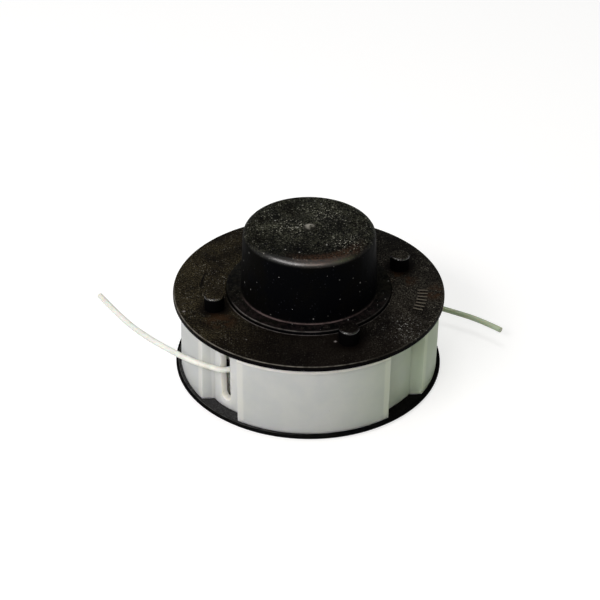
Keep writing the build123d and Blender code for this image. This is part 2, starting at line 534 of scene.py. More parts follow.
def cap_level(band, level):
    """Closes the gap between the band's two sheets at its foot or its top."""
    select_points(band, lambda place: abs(place.z - level) < MERGE_DISTANCE)
    select_mode(edges=True)
    enter_edit(band)
    bpy.ops.mesh.fill()
    bpy.ops.mesh.tris_convert_to_quads()
    leave_edit()


def lean_inwards(band, level, lean):
    """Pushes the left pad of the band in at its foot or its top, where the wall is bent."""
    pad_side = math.sqrt(RECESS_RADIUS**2 - PAD_HALF_WIDTH**2)

    def on_pad(place):
        return place.x < MERGE_DISTANCE - pad_side and abs(place.z - level) < MERGE_DISTANCE
    select_points(band, on_pad)
    select_mode(points=True)
    enter_edit(band)
    bpy.ops.transform.translate(value=(lean, 0, 0), use_proportional_edit=True,
                                proportional_edit_falloff="SMOOTH", proportional_size=LEAN_FADE)
    leave_edit()


def make_band():
    """Hollow castellated band with a slot for each line."""
    outer = castellated_sheet("band_outer", RECESS_RADIUS, pad_radius, PAD_HALF_WIDTH)
    inner = castellated_sheet("band_inner", BAND_INNER, pad_radius - PAD_WALL, PAD_HALF_WIDTH - PAD_WALL)
    band = named(joined([outer, inner]), "band_moulding")
    cap_level(band, band_low.z)
    cap_level(band, band_high.z)
    enter_edit(band)
    point_outwards(merge=False)
    leave_edit()
    lean_inwards(band, band_low.z, LEAN_AT_FOOT)
    lean_inwards(band, band_high.z, LEAN_AT_TOP)
    slot_cutters = copies_around(make_slot_cutter(), (RECESS_RADIUS + BAND_INNER) / 2, SLOT_ANGLES)
    combine(band, slot_cutters, "DIFFERENCE")
    apply_modifier(band, "BEVEL", width=BAND_EDGE_ROUND, segments=BAND_ROUND_STEPS, limit_method="ANGLE",
                   angle_limit=BAND_EDGE_ANGLE, use_clamp_overlap=True)
    smooth(band)
    return band


def make_winding(name, node):
    """Wound line: its outer layer as a real helix over a sleeve of the layers below."""
    low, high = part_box(node)
    turn_radius = high.x - LINE_DIAMETER / 2
    start = (turn_radius, 0, low.z + LINE_DIAMETER / 2)
    bpy.ops.object.select_all(action="DESELECT")
    bpy.ops.mesh.primitive_circle_add(
        vertices=TURN_SIDES, radius=LINE_DIAMETER / 2, location=start, rotation=(math.pi / 2, 0, 0))
    helix = named(bpy.context.object, name)
    settle(helix)
    rise = high.z - low.z - LINE_DIAMETER
    steps = STEPS_PER_TURN * WINDING_TURNS
    apply_modifier(helix, "SCREW", axis="Z", angle=math.tau * WINDING_TURNS, screw_offset=rise, iterations=1,
                   steps=steps, render_steps=steps, use_normal_calculate=True)
    select_mode(edges=True)
    enter_edit(helix)
    bpy.ops.mesh.select_all(action="DESELECT")
    bpy.ops.mesh.select_non_manifold()
    bpy.ops.mesh.fill()
    point_outwards(merge=False)
    leave_edit()
    inner = CORE_RADIUS + WINDING_CORE_CLEARANCE
    sleeve_outline = [(inner, low.z), (turn_radius, low.z), (turn_radius, high.z), (inner, high.z)]
    sleeve = turned_piece(name + "_sleeve", sleeve_outline, closed_loop=True)
    winding = joined([helix, sleeve])
    smooth(winding, WINDING_SMOOTH_ANGLE)
    return winding


def make_tail(name, route):
    """Free line end as one smooth curve through its route."""
    curve = bpy.data.curves.new(name, "CURVE")
    curve.dimensions = "3D"
    curve.bevel_depth = LINE_DIAMETER / 2
    curve.bevel_resolution = TAIL_QUARTER_SIDES
    curve.use_fill_caps = True
    curve.resolution_u = TAIL_STEPS
    spline = curve.splines.new("NURBS")
    spline.points.add(len(route) - 1)
    for point, place in zip(spline.points, route):
        point.co = (*place, 1)
    spline.order_u = 3
    spline.use_endpoint_u = True
    tail = bpy.data.objects.new(name, curve)
    bpy.context.scene.collection.objects.link(tail)
    return tail


def fill_inputs(tree, node, inputs):
    """Gives each named input of a node its value or its link."""
    for key, value in inputs.items():
        if isinstance(value, bpy.types.NodeSocket):
            tree.links.new(value, node.inputs[key])
        else:
            node.inputs[key].default_value = value


def put(tree, kind, inputs=None, **settings):
    """Adds a node, with its settings and with a value or a link for each named input."""
    node = tree.nodes.new("ShaderNode" + kind)
    for key, value in settings.items():
        setattr(node, key, value)
    fill_inputs(tree, node, inputs or {})
    return node


def worked_out(tree, operation, first, second=0.0, third=0.0):
    """Output of one Math node."""
    return put(tree, "Math", {0: first, 1: second, 2: third}, operation=operation).outputs[0]


def product(tree, *factors):
    """Product of several values."""
    result = factors[0]
    for factor in factors[1:]:
        result = worked_out(tree, "MULTIPLY", result, factor)
    return result


def largest(tree, *values):
    """Largest of several values."""
    result = values[0]
    for value in values[1:]:
        result = worked_out(tree, "MAXIMUM", result, value)
    return result


def at_least(tree, mask, least):
    """Mask lifted so that it runs from a least value to one."""
    return worked_out(tree, "MULTIPLY_ADD", mask, 1 - least, least)


def eased(tree, value, start, stop, low=0.0, high=1.0):
    """Smooth step of a value from low at start to high at stop."""
    inputs = {"Value": value, "From Min": start, "From Max": stop, "To Min": low, "To Max": high}
    return put(tree, "MapRange", inputs, interpolation_type="SMOOTHSTEP").outputs["Result"]


def blended(tree, factor, first, second, blend="MIX"):
    """Colour between two others, or the first one multiplied by the second."""
    inputs = {MIX_FACTOR: factor, MIX_FIRST: first, MIX_SECOND: second}
    return put(tree, "Mix", inputs, data_type="RGBA", blend_type=blend).outputs[MIX_RESULT]


def painted(tree, colour, paint, *masks):
    """Colour with a paint over it, as far as all the masks together let it."""
    return blended(tree, product(tree, *masks), colour, paint)


def vector_node(tree, operation, **inputs):
    """Vector Math node with its two vectors or its scale."""
    sockets = {"first": 0, "second": 1, "scale": "Scale"}
    given = {sockets[key]: value for key, value in inputs.items()}
    return put(tree, "VectorMath", given, operation=operation)


def length_of(tree, across, along):
    """Length of a flat offset."""
    flat = put(tree, "CombineXYZ", {0: across, 1: along}).outputs[0]
    return vector_node(tree, "LENGTH", first=flat).outputs["Value"]


def split(tree, vector):
    """The three parts of a vector."""
    return put(tree, "SeparateXYZ", {0: vector}).outputs


def new_group(name, inputs, output, output_kind="NodeSocketFloat"):
    """Shader node group with the named inputs and one varying output."""
    group = bpy.data.node_groups.new(name, "ShaderNodeTree")
    for label, kind in inputs.items():
        group.interface.new_socket(label, in_out="INPUT", socket_type="NodeSocket" + kind)
    group.interface.new_socket(output, in_out="OUTPUT", socket_type=output_kind)
    given = group.nodes.new("NodeGroupInput").outputs
    sink = group.nodes.new("NodeGroupOutput").inputs[output]
    return group, given, sink


def use_group(tree, group, **inputs):
    """Output of a group placed in a tree, with a value or a link for each of its inputs."""
    node = tree.nodes.new("ShaderNodeGroup")
    node.node_tree = group
    fill_inputs(tree, node, inputs)
    return node.outputs[0]


# Shapes of the masks: the share of a mask's reach that is full, and the least of what varies
SPECK_WOBBLE = 0.15 * MM
SPECK_WOBBLE_SCALE = 5000.0
SPECK_CORE = 0.45
LEAST_SPECK_SIZE = 0.35
LEAST_SPECK_STRENGTH = 0.25
GRAIN_PIT_SHARE = 0.5
RING_CORE = 0.3
SPOT_CORE = 0.2
DUST_PATCHES = {"Low": 0.3, "High": 0.72}
DUST_GRAINS = {"Low": 0.42, "High": 0.64}
DUST_CROWDS = {"Low": 0.38, "High": 0.62}
DUST_SPECK_SHARE = 0.5
LEAST_DUST = 0.2


def cloud_group():
    """Soft patches of a given size."""
    inputs = {"Vector": "Vector", "Size": "Float", "Low": "Float", "High": "Float"}
    group, given, sink = new_group("cloud_mask", inputs, "Mask")
    scale = worked_out(group, "DIVIDE", 1.0, given["Size"])
    texture = {"Vector": given["Vector"], "Scale": scale, "Detail": 4.0, "Roughness": 0.6}
    noise = put(group, "TexNoise", texture).outputs["Fac"]
    group.links.new(eased(group, noise, given["Low"], given["High"]), sink)
    return group


def speck_group():
    """Scattered uneven specks: one in some of the cells, each with its own size and strength."""
    inputs = {"Vector": "Vector", "Spacing": "Float", "Size": "Float", "Share": "Float"}
    group, given, sink = new_group("speck_mask", inputs, "Mask")
    scale = worked_out(group, "DIVIDE", 1.0, given["Spacing"])
    texture = {"Vector": given["Vector"], "Scale": SPECK_WOBBLE_SCALE, "Detail": 1.0}
    wobble = put(group, "TexNoise", texture).outputs["Color"]
    shift = vector_node(group, "SCALE", first=wobble, scale=SPECK_WOBBLE).outputs[0]
    place = vector_node(group, "ADD", first=given["Vector"], second=shift).outputs[0]
    cells = put(group, "TexVoronoi", {"Vector": place, "Scale": scale, "Randomness": 1.0})
    choice, growth, fade = put(group, "SeparateColor", {0: cells.outputs["Color"]}).outputs
    distance = product(group, cells.outputs["Distance"], given["Spacing"])
    radius = product(group, eased(group, growth, 0.0, 1.0, LEAST_SPECK_SIZE, 1.0), given["Size"])
    dot = eased(group, distance, radius, product(group, radius, SPECK_CORE))
    chosen = worked_out(group, "LESS_THAN", choice, given["Share"])
    strength = eased(group, fade, 0.0, 1.0, LEAST_SPECK_STRENGTH, 1.0)
    group.links.new(product(group, dot, chosen, strength), sink)
    return group


def grain_group():
    """Fine spark-eroded grain as a height."""
    group, given, sink = new_group("grain_height", {"Vector": "Vector", "Size": "Float"}, "Height")
    scale = worked_out(group, "DIVIDE", 1.0, given["Size"])
    texture = {"Vector": given["Vector"], "Scale": scale, "Detail": 2.0, "Roughness": 0.55}
    noise = put(group, "TexNoise", texture).outputs["Fac"]
    cells = {"Vector": given["Vector"], "Scale": scale}
    pits = put(group, "TexVoronoi", cells, feature="SMOOTH_F1").outputs["Distance"]
    group.links.new(worked_out(group, "MULTIPLY_ADD", pits, GRAIN_PIT_SHARE, noise), sink)
    return group


def ring_group():
    """Ring about the axis with a given radius, height and reach."""
    inputs = {"Vector": "Vector", "Radius": "Float", "Height": "Float", "Reach": "Float"}
    group, given, sink = new_group("ring_mask", inputs, "Mask")
    x, y, z = split(group, given["Vector"])
    across = worked_out(group, "SUBTRACT", length_of(group, x, y), given["Radius"])
    along = worked_out(group, "SUBTRACT", z, given["Height"])
    distance = length_of(group, across, along)
    group.links.new(eased(group, distance, given["Reach"], product(group, given["Reach"], RING_CORE)), sink)
    return group


def spot_group():
    """Soft round spot about a centre."""
    inputs = {"Vector": "Vector", "Centre": "Vector", "Reach": "Float"}
    group, given, sink = new_group("spot_mask", inputs, "Mask")
    offset = vector_node(group, "DISTANCE", first=given["Vector"], second=given["Centre"])
    distance = offset.outputs["Value"]
    group.links.new(eased(group, distance, given["Reach"], product(group, given["Reach"], SPOT_CORE)), sink)
    return group


def dust_group():
    """Film and specks of settled dust over a plain colour, each as far as the amount lets it."""
    inputs = {"Vector": "Vector", "Amount": "Float", "Plain": "Color", "Film": "Color", "Speck": "Color"}
    inputs |= {"Patch": "Float", "Grain": "Float", "Spacing": "Float", "Dot": "Float", "Crowd": "Float"}
    group, given, sink = new_group("settled_dust", inputs, "Color", "NodeSocketColor")
    place = given["Vector"]
    patch = use_group(group, CLOUD, Vector=place, Size=given["Patch"], **DUST_PATCHES)
    grain = use_group(group, CLOUD, Vector=place, Size=given["Grain"], **DUST_GRAINS)
    crowd = use_group(group, CLOUD, Vector=place, Size=given["Crowd"], **DUST_CROWDS)
    specks = use_group(group, SPECKS, Vector=place, Spacing=given["Spacing"], Size=given["Dot"],
                       Share=DUST_SPECK_SHARE)
    film_masks = (at_least(group, patch, LEAST_DUST), grain, given["Amount"])
    speck_masks = (specks, at_least(group, crowd, LEAST_DUST), given["Amount"])
    dusty = painted(group, given["Plain"], given["Film"], *film_masks)
    group.links.new(painted(group, dusty, given["Speck"], *speck_masks), sink)
    return group


CLOUD = cloud_group()
SPECKS = speck_group()
GRAIN = grain_group()
RING = ring_group()
SPOT = spot_group()
DUST = dust_group()

# Values that the finishes share: a ramp is where it starts and stops, and its value at each, if not 0 and 1
UPWARD_SLOPES = (0.1, 0.75)
# Painted highlight lines along edges: stronger at the front and the left, and broken by gaps
HIGHLIGHT_FRONT_RAMP = (-3 * MM, -14 * MM)
HIGHLIGHT_SIDE_RAMP = (9 * MM, -4 * MM, 0.25, 1.0)
HIGHLIGHT_GAPS = {"Size": 1.6 * MM, "Low": 0.32, "High": 0.6}
LEAST_HIGHLIGHT = 0.35
BLACK_SHINE = 0.015
BLACK_GRAIN_DEPTH = 0.06 * MM


def new_material(name, **settings):
    """Material with a Principled shader whose plain sockets are set here."""
    material = bpy.data.materials.new(name)
    material.use_nodes = True
    tree = material.node_tree
    shader = tree.nodes["Principled BSDF"]
    for socket, value in settings.items():
        shader.inputs[socket.replace("_", " ")].default_value = value
    return material, tree, shader


def object_place(tree):
    """Place on the piece, in its own coordinates."""
    return put(tree, "TexCoord").outputs["Object"]


def feed(tree, shader, **values):
    """Links varying values to the shader's sockets."""
    for socket, value in values.items():
        tree.links.new(value, shader.inputs[socket.replace("_", " ")])


def add_grain(tree, shader, place, size, strength, depth):
    """Links the moulded grain to the shader's normal through a bump."""
    height = use_group(tree, GRAIN, Vector=place, Size=size)
    bump = put(tree, "Bump", {"Height": height, "Strength": strength, "Distance": depth})
    feed(tree, shader, Normal=bump.outputs["Normal"])


def facing(tree, axis, start, stop):
    """How far a surface faces along an axis, from none at one slope to fully at another."""
    normal = split(tree, put(tree, "NewGeometry").outputs["Normal"])
    return eased(tree, normal[axis], start, stop)


def specks_on(tree, place, colour, speck_colour, sizes, *masks):
    """Colour with specks of some sizes over it, as far as the masks let them."""
    specks = use_group(tree, SPECKS, Vector=place, **sizes)
    return painted(tree, colour, speck_colour, specks, *masks)


def on_level(height, *places):
    """Points at one height, from places in millimetres."""
    return [Vector((x * MM, y * MM, height)) for x, y in places]


def spots(tree, place, reach, centres):
    """Soft round spots about several centres."""
    masks = [use_group(tree, SPOT, Vector=place, Centre=centre, Reach=reach) for centre in centres]
    return largest(tree, *masks)


def highlight_line(tree, place, radius, height, reach):
    """Thin uneven painted highlight round the axis, along an edge."""
    ring = use_group(tree, RING, Vector=place, Radius=radius, Height=height, Reach=reach)
    gaps = use_group(tree, CLOUD, Vector=place, **HIGHLIGHT_GAPS)
    return product(tree, ring, at_least(tree, gaps, LEAST_HIGHLIGHT))


# Hub: plain black
HUB_COOL_BLACK = (0.0008, 0.0009, 0.0014, 1)
HUB_WARM_BLACK = (0.0016, 0.0015, 0.0013, 1)
HUB_PATCHES = {"Size": 9 * MM, "Low": 0.42, "High": 0.62}
HUB_ROUGHNESS = (0.48, 0.62)
HUB_GRAIN_SIZE = 0.45 * MM
HUB_GRAIN_STRENGTH = 0.35

# Hub: dust on the crown, on the collar and on the lower flange's shelf, with painted light on the shelf
CROWN_RAMP = (knob_top - 3 * MM, knob_top - 1.4 * MM)
CROWN_FRONT_RAMP = (-14 * MM, 0.0, 0.25, 1.0)
CROWN_FILM = (0.062, 0.064, 0.045, 1)
CROWN_SPECK = (0.36, 0.36, 0.3, 1)
COLLAR_DUST_RAMP = (knob_top - 8 * MM, collar_top, 0.0, 0.08)
SHELF_HEIGHT_RAMP = (14 * MM, 6 * MM)
SHELF_RADIUS_RAMP = (flange_radius - 0.7 * MM, flange_radius - 1.1 * MM)
SHELF_SIDE_RAMP = (6 * MM, -14 * MM, 0.06, 0.9)
# Paler film and a grey haze on the shelf: dust and painted light that lifts the band's shadow
SHELF_DUST_AND_LIGHT = (0.095, 0.095, 0.097, 1)
SHELF_SPECK = (0.1, 0.1, 0.1, 1)
SHELF_PAINTED_LIGHT = (0.042, 0.042, 0.043, 1)
SHELF_PAINTED_LIGHT_SHARE = 0.6
HUB_DUST = {
    "Patch": 4 * MM,
    "Grain": 0.36 * MM,
    "Spacing": 0.44 * MM,
    "Dot": 0.24 * MM,
    "Crowd": 3.2 * MM,
}

# Hub: crumbs, flecks, rust and the pale broken gate
CRUMB_PLACES = on_level(knob_top, (-4.5, 0.3), (4.5, 6.5), (8.0, -7.5))
CRUMB_REACH = 5.5 * MM
CRUMBS = {"Spacing": 0.38 * MM, "Size": 0.19 * MM, "Share": 0.75}
CRUMB_COLOUR = (0.48, 0.48, 0.4, 1)
FLECK_HEIGHT_RAMP = (14 * MM, collar_top)
FINE_FLECKS = {"Spacing": 0.6 * MM, "Size": 0.18 * MM, "Share": 0.4}
FINE_FLECK_COLOUR = (0.02, 0.02, 0.025, 1)
LARGE_FLECKS = {"Spacing": 1.6 * MM, "Size": 0.28 * MM, "Share": 0.4}
LARGE_FLECK_COLOUR = (0.28, 0.28, 0.27, 1)
RUST_RING = {"Radius": 14.2 * MM, "Height": knob_top - 0.2 * MM, "Reach": 2.4 * MM}
RUST_PLACES = on_level(knob_top - 0.3 * MM, (4.5, -14.0))
RUST_REACH = 13 * MM
RUST_GRAIN = {"Size": 0.45 * MM, "Low": 0.35, "High": 0.65}
RUST_COLOUR = (0.06, 0.032, 0.02, 1)
RUST_SHARE = 0.7
NUB_PLACES = on_level(nub_top + 0.1 * MM, (0, 0))
NUB_REACH = 1.7 * MM
NUB_PATCHES = {"Size": 0.9 * MM, "Low": 0.3, "High": 0.6}
NUB_COLOUR = (0.26, 0.25, 0.22, 1)

# Hub: mottled collar, and painted highlights as thin lines along its edges
COLLAR_FROM_RAMP = (collar_top - 1.8 * MM, collar_top - 0.3 * MM)
COLLAR_TO_RAMP = (collar_top + 2.2 * MM, collar_top + 0.7 * MM)
COLLAR_MOTTLE = {"Size": 1.3 * MM, "Low": 0.38, "High": 0.66}
COLLAR_MOTTLE_SHARE = 0.5
COLLAR_FRONT_RAMP = (0.0, -12 * MM)
COLLAR_BACK_COLOUR = (0.015, 0.0145, 0.0105, 1)
COLLAR_FRONT_COLOUR = (0.017, 0.0115, 0.012, 1)
# Painted highlights as thin lines at the knob's root, on the collar's edge and on the shelf's rim
ROOT_LINE_RADIUS = KNOB_BASE + 0.25 * MM
ROOT_LINE_REACH = 0.32 * MM
ROOT_SIDE_RAMP = (12 * MM, 2 * MM, 0.4, 1.0)
ROOT_HIGHLIGHT_COLOUR = (0.09, 0.066, 0.066, 1)
COLLAR_LINE_RADIUS = COLLAR_RADIUS - 0.25 * MM
COLLAR_LINE_REACH = 0.24 * MM
COLLAR_HIGHLIGHT_COLOUR = (0.09, 0.085, 0.08, 1)
SHELF_LINE_RADIUS = flange_radius - 0.7 * MM
SHELF_LINE_REACH = 0.16 * MM
SHELF_LINE_RAMP = (0.0, -14 * MM)
SHELF_HIGHLIGHT_COLOUR = (0.07, 0.07, 0.068, 1)

# Hub: polished front of the crown's rim
RIM_RING = {"Radius": 15.1 * MM, "Height": knob_top - 0.65 * MM, "Reach": 1.3 * MM}
RIM_FRONT_SLOPES = (-0.25, -0.65)
RIM_LEFT_RAMP = (-6 * MM, 2 * MM, 0.42, 1.0)
RIM_RIGHT_RAMP = (5 * MM, 11 * MM, 1.0, 0.15)
RIM_ROUGHNESS = 0.33
RIM_IOR = 2.0
RIM_TINT = (1.0, 0.93, 0.91, 1)


def hub_dust(tree, place, up, plain):
    """Dust on the hub's upward faces, thickest on the crown and at the left of the lower flange, where a
    paler film and a grey haze also paint light over the band's shadow.
    """
    x, y, z = split(tree, place)
    crown = product(tree, eased(tree, z, *CROWN_RAMP), eased(tree, y, *CROWN_FRONT_RAMP))
    low = eased(tree, z, *SHELF_HEIGHT_RAMP)
    shelf = eased(tree, length_of(tree, x, y), *SHELF_RADIUS_RAMP)
    shelf = product(tree, low, shelf, eased(tree, x, *SHELF_SIDE_RAMP))
    collar = eased(tree, z, *COLLAR_DUST_RAMP)
    amount = product(tree, up, largest(tree, crown, shelf, collar))
    film = blended(tree, low, CROWN_FILM, SHELF_DUST_AND_LIGHT)
    speck = blended(tree, low, CROWN_SPECK, SHELF_SPECK)
    colour = use_group(tree, DUST, Vector=place, Amount=amount, Plain=plain, Film=film, Speck=speck,
                       **HUB_DUST)
    # Grey haze on the shelf: painted light
    return painted(tree, colour, SHELF_PAINTED_LIGHT, shelf, up, SHELF_PAINTED_LIGHT_SHARE)


def hub_dirt(tree, place, colour):
    """Crumbs and rust on the crown, flecks all round, and the pale broken gate."""
    height = split(tree, place)[Z_AXIS]
    crumb_spots = spots(tree, place, CRUMB_REACH, CRUMB_PLACES)
    colour = specks_on(tree, place, colour, CRUMB_COLOUR, CRUMBS, crumb_spots)
    high = eased(tree, height, *FLECK_HEIGHT_RAMP)
    colour = specks_on(tree, place, colour, FINE_FLECK_COLOUR, FINE_FLECKS, high)
    colour = specks_on(tree, place, colour, LARGE_FLECK_COLOUR, LARGE_FLECKS, high)
    rust = use_group(tree, RING, Vector=place, **RUST_RING)
    rust_spots = spots(tree, place, RUST_REACH, RUST_PLACES)
    rust_grain = use_group(tree, CLOUD, Vector=place, **RUST_GRAIN)
    colour = painted(tree, colour, RUST_COLOUR, rust, rust_spots, rust_grain, RUST_SHARE)
    nub = spots(tree, place, NUB_REACH, NUB_PLACES)
    nub_patches = use_group(tree, CLOUD, Vector=place, **NUB_PATCHES)
    return painted(tree, colour, NUB_COLOUR, nub, nub_patches)


def hub_edges(tree, place, up, colour):
    """Mottled collar, and painted highlights as thin lines along the edges where they face the front."""
    x, y, z = split(tree, place)
    front = eased(tree, y, *HIGHLIGHT_FRONT_RAMP)
    collar = product(tree, up, eased(tree, z, *COLLAR_FROM_RAMP), eased(tree, z, *COLLAR_TO_RAMP))
    mottle = use_group(tree, CLOUD, Vector=place, **COLLAR_MOTTLE)
    forward = eased(tree, y, *COLLAR_FRONT_RAMP)
    mottle_colour = blended(tree, forward, COLLAR_BACK_COLOUR, COLLAR_FRONT_COLOUR)
    colour = painted(tree, colour, mottle_colour, collar, mottle, COLLAR_MOTTLE_SHARE)
    # Painted highlights along the knob's root, the collar's edge and the shelf's rim
    root = highlight_line(tree, place, ROOT_LINE_RADIUS, collar_top, ROOT_LINE_REACH)
    colour = painted(tree, colour, ROOT_HIGHLIGHT_COLOUR, root, front, eased(tree, x, *ROOT_SIDE_RAMP))
    edge = highlight_line(tree, place, COLLAR_LINE_RADIUS, collar_top, COLLAR_LINE_REACH)
    colour = painted(tree, colour, COLLAR_HIGHLIGHT_COLOUR, edge, front, eased(tree, x, *HIGHLIGHT_SIDE_RAMP))
    shelf = highlight_line(tree, place, SHELF_LINE_RADIUS, LOWER_FLANGE_TOP, SHELF_LINE_REACH)
    return painted(tree, colour, SHELF_HIGHLIGHT_COLOUR, shelf, eased(tree, x, *SHELF_LINE_RAMP))


def hub_material():
    """Black moulding with settled dust on its crown, flecks on its side, and painted highlights along its
    round edges.
    """
    material, tree, shader = new_material(
        "hub_finish", Specular_IOR_Level=BLACK_SHINE, Coat_Roughness=RIM_ROUGHNESS, Coat_IOR=RIM_IOR,
        Coat_Tint=RIM_TINT)
    place = object_place(tree)
    side = split(tree, place)[X_AXIS]
    up = facing(tree, Z_AXIS, *UPWARD_SLOPES)
    patches = use_group(tree, CLOUD, Vector=place, **HUB_PATCHES)
    plain = blended(tree, patches, HUB_COOL_BLACK, HUB_WARM_BLACK)
    colour = hub_dust(tree, place, up, plain)
    colour = hub_dirt(tree, place, colour)
    colour = hub_edges(tree, place, up, colour)
    rim = use_group(tree, RING, Vector=place, **RIM_RING)
    front = facing(tree, Y_AXIS, *RIM_FRONT_SLOPES)
    polish = product(tree, rim, front, eased(tree, side, *RIM_LEFT_RAMP), eased(tree, side, *RIM_RIGHT_RAMP))
    roughness = eased(tree, patches, 0.0, 1.0, *HUB_ROUGHNESS)
    feed(tree, shader, Base_Color=colour, Coat_Weight=polish, Roughness=roughness)
    add_grain(tree, shader, place, HUB_GRAIN_SIZE, HUB_GRAIN_STRENGTH, BLACK_GRAIN_DEPTH)
    return material


# Upper flange: plain black
FLANGE_DARK_BLACK = (0.0020, 0.0014, 0.0014, 1)
FLANGE_BROWN_BLACK = (0.0042, 0.0030, 0.0024, 1)
FLANGE_SIDE_BLACK = (0.0011, 0.0010, 0.0012, 1)
FLANGE_PATCHES = {"Size": 12 * MM, "Low": 0.4, "High": 0.62}
FLANGE_ROUGHNESS = (0.48, 0.64)
FLANGE_GRAIN_SIZE = 0.5 * MM
FLANGE_GRAIN_STRENGTH = 0.3

# Upper flange: dust, thicker at the sides and the back, and thinned round the pegs' feet as a painted shadow
SPREAD_BACK_SHARE = 0.5
SPREAD_RAMP = (-6 * MM, 26 * MM, 0.14, 0.95)
# Dust thinned round the pegs' feet: a painted shadow
PEG_SHADOW_RAMP = (2.5 * MM, 5.6 * MM, 0.1, 1.0)
PEG_TOP_RAMP = (upper_top + 0.5 * MM, upper_top + 1.0 * MM)
SHADED_RAMP = (6 * MM, 26 * MM, 1.0, 0.75)
FILM_SIDE_RAMP = (5 * MM, -20 * MM)
RIGHT_FILM = (0.06, 0.056, 0.045, 1)
LEFT_FILM = (0.066, 0.056, 0.03, 1)
FLANGE_SPECK = (0.25, 0.24, 0.2, 1)
FLANGE_DUST = {
    "Patch": 6 * MM,
    "Grain": 0.36 * MM,
    "Spacing": 0.46 * MM,
    "Dot": 0.24 * MM,
    "Crowd": 4.5 * MM,
}

# Upper flange: scuffs, soil, a scratched arc, chips and flecks
SCUFF_PLACES = on_level(upper_top, (22.0, -18.5))
SCUFF_REACH = 7.5 * MM
SCUFFS = {"Spacing": 0.36 * MM, "Size": 0.18 * MM, "Share": 0.5}
SCUFF_COLOUR = (0.42, 0.42, 0.4, 1)
SOIL_PLACES = on_level(upper_top, (-21.4, -14.1), (23.2, 3.0), (30.5, -3.0))
SOIL_REACH = 5 * MM
SOIL_PATCHES = {"Size": 2.5 * MM, "Low": 0.4, "High": 0.6}
SOIL_SHARE = 0.75
SOIL_COLOUR = (0.031, 0.0155, 0.0075, 1)
ARC_RING = {"Radius": 26.2 * MM, "Height": upper_top, "Reach": 0.35 * MM}
ARC_PLACES = on_level(upper_top, (-25.6, 3.8))
ARC_REACH = 6 * MM
ARC_COLOUR = (0.002, 0.0017, 0.0015, 1)
CHIP_PLACES = on_level(upper_top, (-30.1, -9.6), (5.1, -23.0))
CHIP_REACH = 0.5 * MM
CHIP_COLOUR = (0.18, 0.165, 0.16, 1)
FLANGE_FLECKS = {"Spacing": 2.6 * MM, "Size": 0.3 * MM, "Share": 0.3}
FLANGE_FLECK_COLOUR = (0.28, 0.27, 0.25, 1)

# Upper flange: rubbed ticks, and painted highlights along the outer and bore edges
TICK_FROM_RAMP = (upper_top + 0.1 * MM, upper_top + 0.2 * MM)
TICK_TO_RAMP = (upper_top + 0.5 * MM, upper_top + 0.35 * MM)
TICK_COLOUR = (0.1, 0.09, 0.072, 1)
# Painted highlights as thin lines on the outer edge and on the bore's edge
OUTER_LINE_RADIUS = flange_radius - 0.26 * MM
OUTER_LINE_HEIGHT = upper_top - 0.03 * MM
OUTER_LINE_REACH = 0.2 * MM
OUTER_FRONT_RAMP = (6 * MM, -6 * MM)
OUTER_SIDE_RAMP = (16 * MM, 0.0, 0.15, 1.0)
OUTER_HIGHLIGHT_COLOUR = (0.14, 0.132, 0.115, 1)
BORE_LINE_RADIUS = COLLAR_RADIUS + 0.35 * MM
BORE_LINE_REACH = 0.24 * MM
BORE_HIGHLIGHT_COLOUR = (0.09, 0.083, 0.08, 1)

# Upper flange: polished front of each peg's edge
PEG_EDGE_RING = {"Radius": PEG_RADIUS - 0.12 * MM, "Height": flange_high.z - 0.1 * MM, "Reach": 0.45 * MM}
PEG_FRONT_SLOPES = (0.0, -0.3)
PEG_POLISH_ROUGHNESS = 0.25
PEG_POLISH_IOR = 1.65


def from_nearest_peg(tree, place):
    """Coordinates about the nearest index peg's axis."""
    x, y, z = split(tree, place)
    pitch = math.tau / PEG_COUNT
    angle = worked_out(tree, "ARCTAN2", y, x)
    turns = worked_out(tree, "DIVIDE", worked_out(tree, "SUBTRACT", angle, PEG_START), pitch)
    rest = worked_out(tree, "SUBTRACT", turns, worked_out(tree, "ROUND", turns))
    rest = product(tree, rest, pitch)
    radius = length_of(tree, x, y)
    across = product(tree, radius, worked_out(tree, "SINE", rest))
    along = product(tree, radius, worked_out(tree, "COSINE", rest))
    along = worked_out(tree, "SUBTRACT", along, PEG_CIRCLE)
    return put(tree, "CombineXYZ", {0: along, 1: across, 2: z}).outputs[0]


def flange_dust(tree, place, peg_place, up, plain):
    """Brownish dust on the plate and on the pegs' tops, thinned round the pegs' feet as a painted shadow."""
    x, y, z = split(tree, place)
    peg_along, peg_across, _ = split(tree, peg_place)
    spread = worked_out(tree, "MULTIPLY_ADD", y, SPREAD_BACK_SHARE, worked_out(tree, "ABSOLUTE", x))
    # Less dust round each peg's foot paints its shadow; the pegs' tops keep their dust
    outside_peg_shadow = eased(tree, length_of(tree, peg_along, peg_across), *PEG_SHADOW_RAMP)
    outside_peg_shadow = largest(tree, outside_peg_shadow, eased(tree, z, *PEG_TOP_RAMP))
    shaded = eased(tree, y, *SHADED_RAMP)
    amount = product(tree, up, outside_peg_shadow, shaded, eased(tree, spread, *SPREAD_RAMP))
    film = blended(tree, eased(tree, x, *FILM_SIDE_RAMP), RIGHT_FILM, LEFT_FILM)
    return use_group(tree, DUST, Vector=place, Amount=amount, Plain=plain, Film=film, Speck=FLANGE_SPECK,
                     **FLANGE_DUST)


